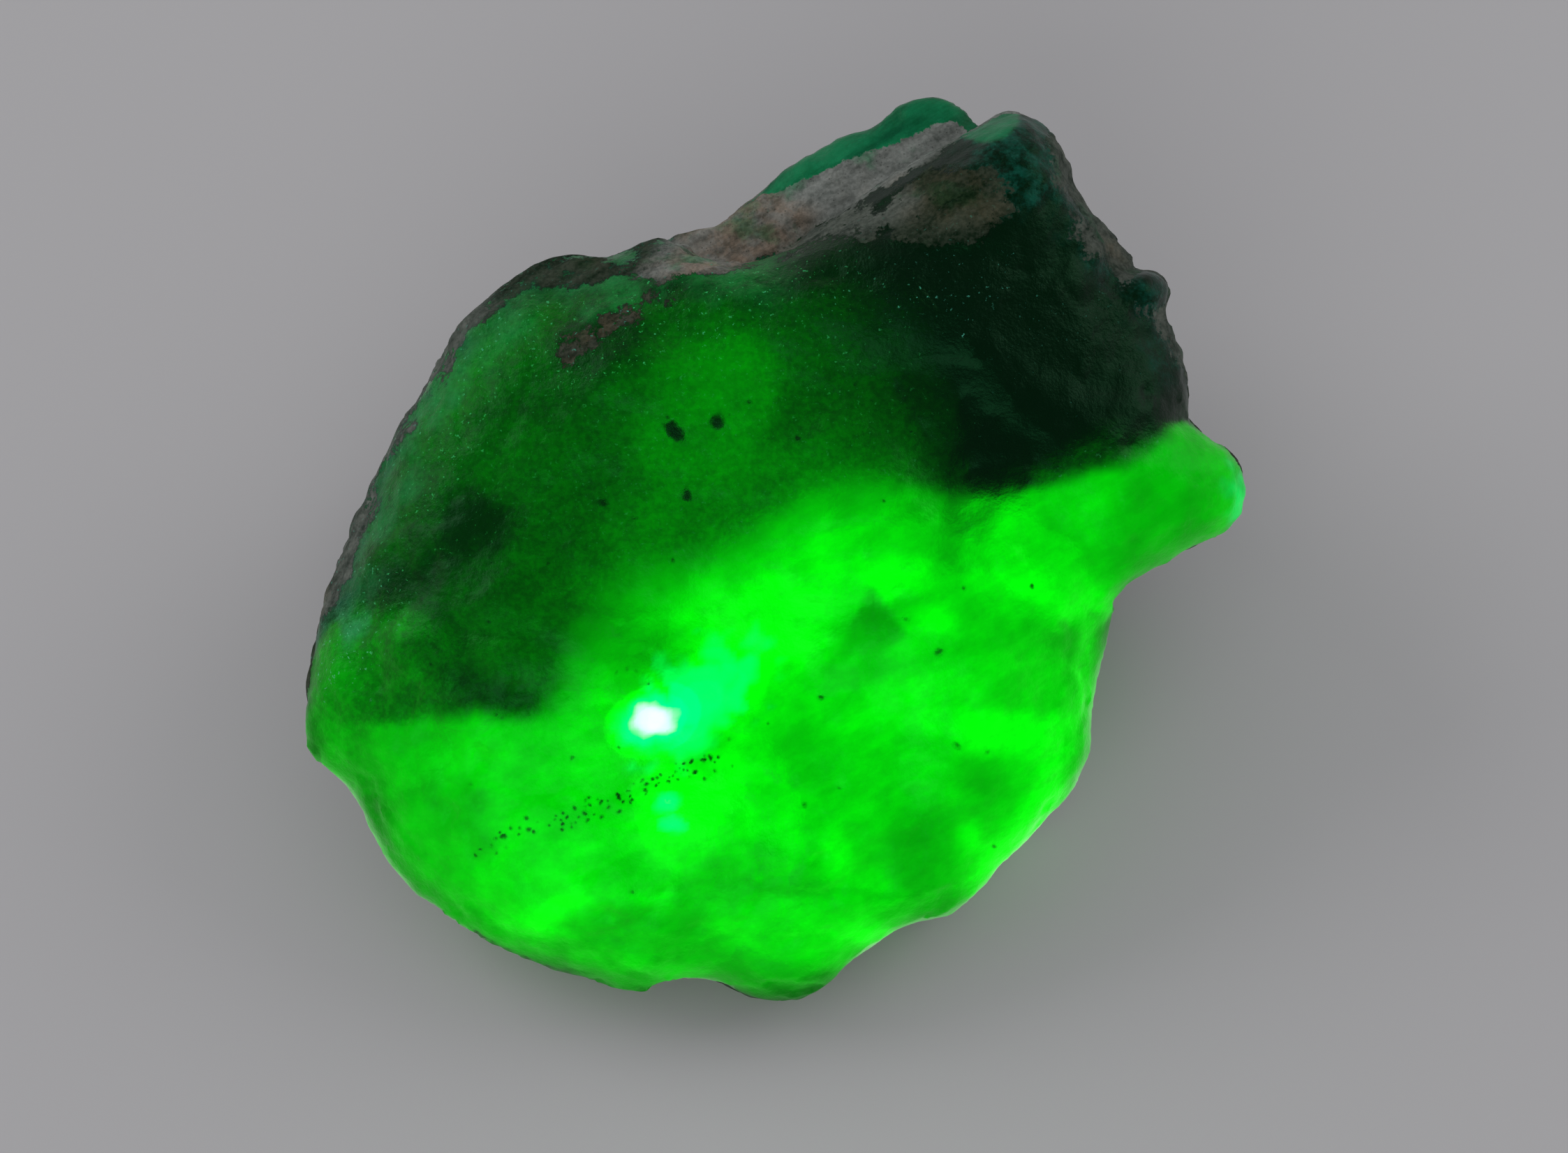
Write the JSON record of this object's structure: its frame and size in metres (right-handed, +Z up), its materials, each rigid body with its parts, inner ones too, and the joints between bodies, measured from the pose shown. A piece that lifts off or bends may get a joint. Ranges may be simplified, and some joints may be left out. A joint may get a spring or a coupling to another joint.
{
  "type": "raw emerald crystal",
  "caption": "Rough broken lump of translucent green emerald with a skin of grey-brown mica schist, a spur on one side, and a flat broken base it rests on.",
  "frame": {"origin": "bottom centre of the stone's bounding box, on the plane that it rests on", "axes": "+Z up, +X towards the spur, -Y towards the thin front edge"},
  "size_m": [0.0328, 0.0302, 0.0185],
  "materials": {
    "emerald": "rough broken surface, glassy where fresh, cloudy green and see-through inside, dull grey-brown where schist is grown on"
  },
  "bodies": {
    "root": {"emerald_crystal": "emerald"}
  },
  "joints": []
}
